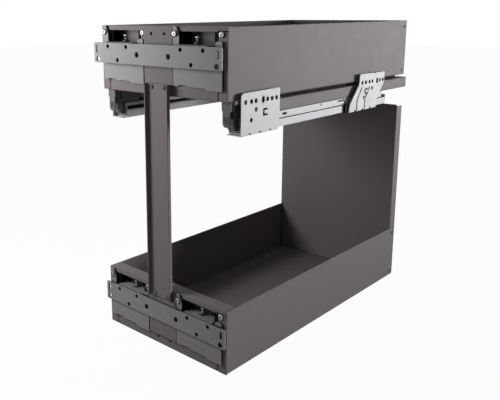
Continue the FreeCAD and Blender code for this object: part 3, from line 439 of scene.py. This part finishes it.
def lathe(name, rings, sides, centre):
    """A closed solid of rings: each is (height, radius by angle), from the bottom to the top."""
    made = bmesh.new()
    loops = []
    for height, radius_at in rings:
        loop = []
        for i in range(sides):
            angle = 2 * math.pi * i / sides
            radius = radius_at(angle)
            loop.append(made.verts.new((centre[0] + radius * math.cos(angle),
                                        centre[1] + radius * math.sin(angle), height)))
        loops.append(loop)
    for lower, upper in zip(loops, loops[1:]):
        for i in range(sides):
            k = (i + 1) % sides
            made.faces.new((lower[i], lower[k], upper[k], upper[i]))
    made.faces.new(loops[0][::-1])
    made.faces.new(loops[-1])
    return mesh_of(made, name)


def cross_cutter(centre, top, reach, width, depth, turn):
    """Two crossing tapered wedges that cut the recess of a screw head."""
    made = bmesh.new()
    for angle in (turn, math.pi / 2 + turn):
        corners = []
        for level, share in ((top + CUTTER_OVERSHOOT, 1.0), (top - depth, RECESS_TAPER)):
            for sx, sy in ((-1, -1), (1, -1), (1, 1), (-1, 1)):
                x, y = sx * reach * share, sy * width / 2 * (0.6 + 0.4 * share)
                corners.append(made.verts.new((
                    centre[0] + x * math.cos(angle) - y * math.sin(angle),
                    centre[1] + x * math.sin(angle) + y * math.cos(angle), level)))
        made.faces.new(corners[0:4])
        made.faces.new(corners[4:8][::-1])
        for i in range(4):
            k = (i + 1) % 4
            made.faces.new((corners[i], corners[4 + i], corners[4 + k], corners[k]))
    return mesh_of(made, "cutter")


def carved(mesh, cutter_mesh):
    """The mesh with the cutter taken out of it."""
    body = bpy.data.objects.new("carved", mesh)
    cutter = bpy.data.objects.new("cutter", cutter_mesh)
    for item in (body, cutter):
        scene.collection.objects.link(item)
    step = body.modifiers.new("recess", "BOOLEAN")
    step.operation = "DIFFERENCE"
    step.solver = "EXACT"
    step.use_self = True
    step.object = cutter
    bpy.context.view_layer.update()
    result = bpy.data.meshes.new_from_object(body.evaluated_get(bpy.context.evaluated_depsgraph_get()))
    for item in (body, cutter):
        bpy.data.objects.remove(item)
    return result


def plain(radius):
    return lambda angle: radius


def thread(height, pitch, root, radius):
    """The radius of a right-hand thread at one height."""
    def radius_at(angle):
        phase = (height / pitch - angle / (2 * math.pi)) % 1.0
        return root + (radius - root) * (1 - abs(2 * phase - 1))
    return radius_at


def threaded(first, last, pitch, root, radius):
    steps = max(2, int((last - first) / (pitch / RINGS_PER_TURN)))
    heights = [first + (last - first) * i / steps for i in range(steps + 1)]
    return [(height, thread(height, pitch, root, radius)) for height in heights]


def headed(neck, height, radius, outline):
    return [(neck + height * share, plain(radius * reach)) for share, reach in outline]


def collar(start):
    """A collar of a height screw, with rounded rims."""
    end = start + COLLAR_HEIGHT
    rim = plain(COLLAR_RADIUS - COLLAR_ROUNDING)
    wall = plain(COLLAR_RADIUS)
    return [(start, rim), (start + COLLAR_ROUNDING, wall), (end - COLLAR_ROUNDING, wall), (end, rim)]


def height_screw(name, node, body, material, turn):
    """A threaded height screw with its two collars and a pan head with a cross recess."""
    low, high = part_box(node)
    centre = ((low[0] + high[0]) / 2, (low[1] + high[1]) / 2)
    bottom, top = low[2], high[2]
    second = bottom + COLLAR_STEP
    neck = top - HEAD_HEIGHT
    rings = collar(bottom)
    rings += [(bottom + COLLAR_HEIGHT, plain(SCREW_RADIUS)), (second, plain(SCREW_RADIUS))]
    rings += collar(second)
    rings += threaded(second + COLLAR_HEIGHT, neck, SCREW_PITCH, SCREW_ROOT, SCREW_RADIUS)
    rings += headed(neck, HEAD_HEIGHT, HEAD_RADIUS, PAN_HEAD)
    shape = lathe(name, rings, HEIGHT_SCREW_SIDES, centre)
    shape = carved(shape, cross_cutter(centre, top, *HEIGHT_RECESS, turn))
    shape.name = name
    piece = add_piece(name, shape, material, body)
    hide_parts(node)


def make_height_screws(materials):
    rolls = random.Random(4)
    for tier in ("upper", "lower"):
        for side in ("left", "right"):
            place = (tier, side)
            height_screw("%s_height_screw_threaded_%s" % place, "%s_height_screw_%s" % place,
                         "%s_screw_%s" % place, materials["screw_zinc"], rolls.uniform(0, LARGEST_TURN))


def solids_of(node):
    """The points of each separate solid of a node."""
    made = bmesh.new()
    made.from_mesh(frame["nodes"][node].data)
    bmesh.ops.remove_doubles(made, verts=made.verts, dist=SAME_POINT)
    waiting = set(made.verts)
    groups = []
    while waiting:
        reached = [waiting.pop()]
        for vertex in reached:
            for edge in vertex.link_edges:
                other = edge.other_vert(vertex)
                if other in waiting:
                    waiting.remove(other)
                    reached.append(other)
        groups.append([tuple(vertex.co) for vertex in reached])
    made.free()
    return sorted(groups, key=lambda group: min(group))


def recessed_screw(points, along, head_height, shank_radius, outline, turn):
    """A screw along one axis, with its head where its solid is widest."""
    low, high = (Vector([pick(point[i] for point in points) for i in range(3)]) for pick in (min, max))
    middle = (low + high) / 2
    across = (along + 1) % 3
    reach = [max(abs(p[across] - middle[across]) for p in points if (p[along] > middle[along]) == far)
             for far in (False, True)]
    side = 1 if reach[1] > reach[0] else -1
    radius, length = max(reach), high[along] - low[along]
    neck = length - head_height
    root = shank_radius * ROOT_SHARE
    rings = [(0.0, plain(shank_radius * TIP_SHARE)), (TIP_LENGTH, plain(root))]
    rings += threaded(TIP_LENGTH, neck, shank_radius * PITCH_SHARE, root, shank_radius)
    rings += headed(neck, head_height, radius, outline)
    shape = lathe("screw", rings, SMALL_SCREW_SIDES, (0.0, 0.0))
    reach_share, width_share, depth_share = RECESS_SHARES
    shape = carved(shape, cross_cutter((0.0, 0.0), length, radius * reach_share, radius * width_share,
                                       head_height * depth_share, turn))
    axis = Vector([side if i == along else 0 for i in range(3)])
    tip = Vector(middle)
    tip[along] = low[along] if side > 0 else high[along]
    shape.transform(Matrix.Translation(tip) @ axis.to_track_quat("Z", "Y").to_matrix().to_4x4())
    return shape


def make_recessed_screws(materials):
    """Screws with a cross recess in place of the plain ones."""
    rolls = random.Random(9)
    record = frame["record"]
    bodies = {node: body for body, nodes in record["behaviour"]["bodies"].items() for node in nodes}
    slots = {part["node"]: part["material_slot"] for part in record["subparts"]}
    for node, along, head_height, shank_radius, outline in RECESSED_SCREWS:
        joined = bmesh.new()
        for points in solids_of(node):
            shape = recessed_screw(points, along, head_height, shank_radius, outline,
                                   rolls.uniform(0, LARGEST_TURN))
            joined.from_mesh(shape)
            bpy.data.meshes.remove(shape)
        mesh = mesh_of(joined, node + "_recessed")
        piece = add_piece(node + "_recessed", mesh, materials[slots[node]], bodies[node])
        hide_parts(node)


make_camera()
make_world()
make_lights()
make_floor()
materials = make_materials()
dress_nodes(materials)
make_height_screws(materials)
make_recessed_screws(materials)
